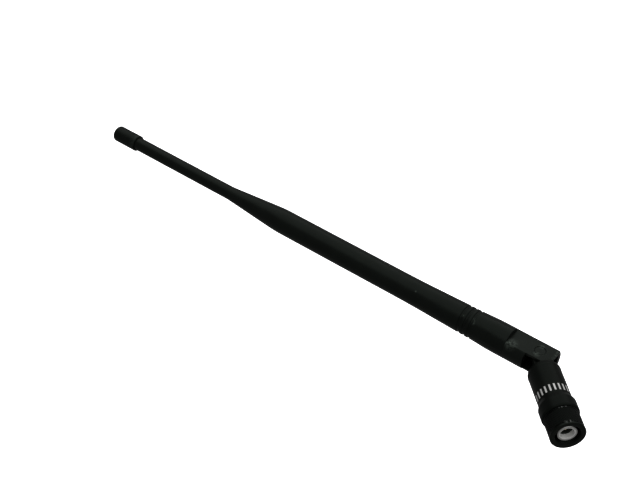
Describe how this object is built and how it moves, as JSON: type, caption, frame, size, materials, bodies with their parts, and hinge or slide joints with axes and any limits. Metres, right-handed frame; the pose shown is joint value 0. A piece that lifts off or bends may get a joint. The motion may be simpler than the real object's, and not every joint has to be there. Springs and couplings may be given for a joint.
{
  "type": "omnidirectional antenna",
  "caption": "Jointed omnidirectional whip antenna: black tapered mast on a tilt knuckle and swivelling base, with a threaded coaxial plug.",
  "frame": {"origin": "centre of the plug's outer contact at its front edge", "axes": "-X is the way the plug mates, +X runs into the base, +Z is the tilt hinge's axis; the antenna lies on its side with the mast bent 45 degrees from +X towards +Y"},
  "size_m": [0.2159, 0.184, 0.0154],
  "materials": {
    "radome_plastic": "fine matte moulded, black",
    "fork_plastic": "matte moulded, black",
    "base_plastic": "matte moulded, black",
    "cap_plastic": "matte moulded, black",
    "white_marks": "printed white",
    "black_nut": "black plated, semi-gloss",
    "plated_contact": "bright white-metal plating",
    "plated_body": "plated",
    "ptfe": "waxy white",
    "insulator_plastic": "smooth moulded, black",
    "gold_pin": "gold plated",
    "rubber": "matte",
    "spring_steel": "plain spring steel",
    "bush_plastic": "natural moulded",
    "cable_jacket": "dark grey fluoropolymer jacket",
    "hinge_pin": "black",
    "brass": "plain drawn",
    "copper": "enamelled copper wire",
    "foam": "soft foam"
  },
  "bodies": {
    "connector": {"outer_contact": "plated_contact", "contact_liner": "ptfe", "insulator": "insulator_plastic", "centre_pin": "gold_pin", "face_gasket": "rubber", "connector_body": "plated_body", "nut_snap_ring": "spring_steel", "swivel_stop_washer": "spring_steel", "swivel_o_ring": "rubber", "cable_ferrule": "plated_body", "coax_lower": "cable_jacket"},
    "nut": {"coupling_nut": "black_nut"},
    "base": {"base_housing": "base_plastic", "swivel_bush": "bush_plastic", "coax_flex": "cable_jacket", "hinge_washer_upper": "spring_steel", "hinge_washer_lower": "spring_steel"},
    "mast": {"knuckle_fork": "fork_plastic", "hinge_pin_upper": "hinge_pin", "hinge_pin_lower": "hinge_pin", "coax_upper": "cable_jacket", "radome": "radome_plastic", "radome_o_ring": "rubber", "decoupling_sleeve": "brass", "sleeve_rings": "bush_plastic", "sleeve_beads": "ptfe", "braid_ferrule": "brass", "coil_former": "bush_plastic", "loading_coil": "copper", "whip_rod": "brass", "rod_spacers": "bush_plastic", "tip_cap": "cap_plastic", "tip_cushion": "foam"}
  },
  "joints": [
    {"name": "nut_spin", "type": "hinge", "parent": "connector", "child": "nut", "pos_m": [0, 0, 0], "axis": [1, 0, 0], "continuous": true},
    {"name": "swivel", "type": "hinge", "parent": "connector", "child": "base", "pos_m": [0, 0, 0], "axis": [1, 0, 0], "range_deg": [-165, 165]},
    {"name": "tilt", "type": "hinge", "parent": "base", "child": "mast", "pos_m": [0.0403, 0, 0], "axis": [0, 0, 1], "range_deg": [-45, 45], "deforming": ["coax_flex"]}
  ]
}
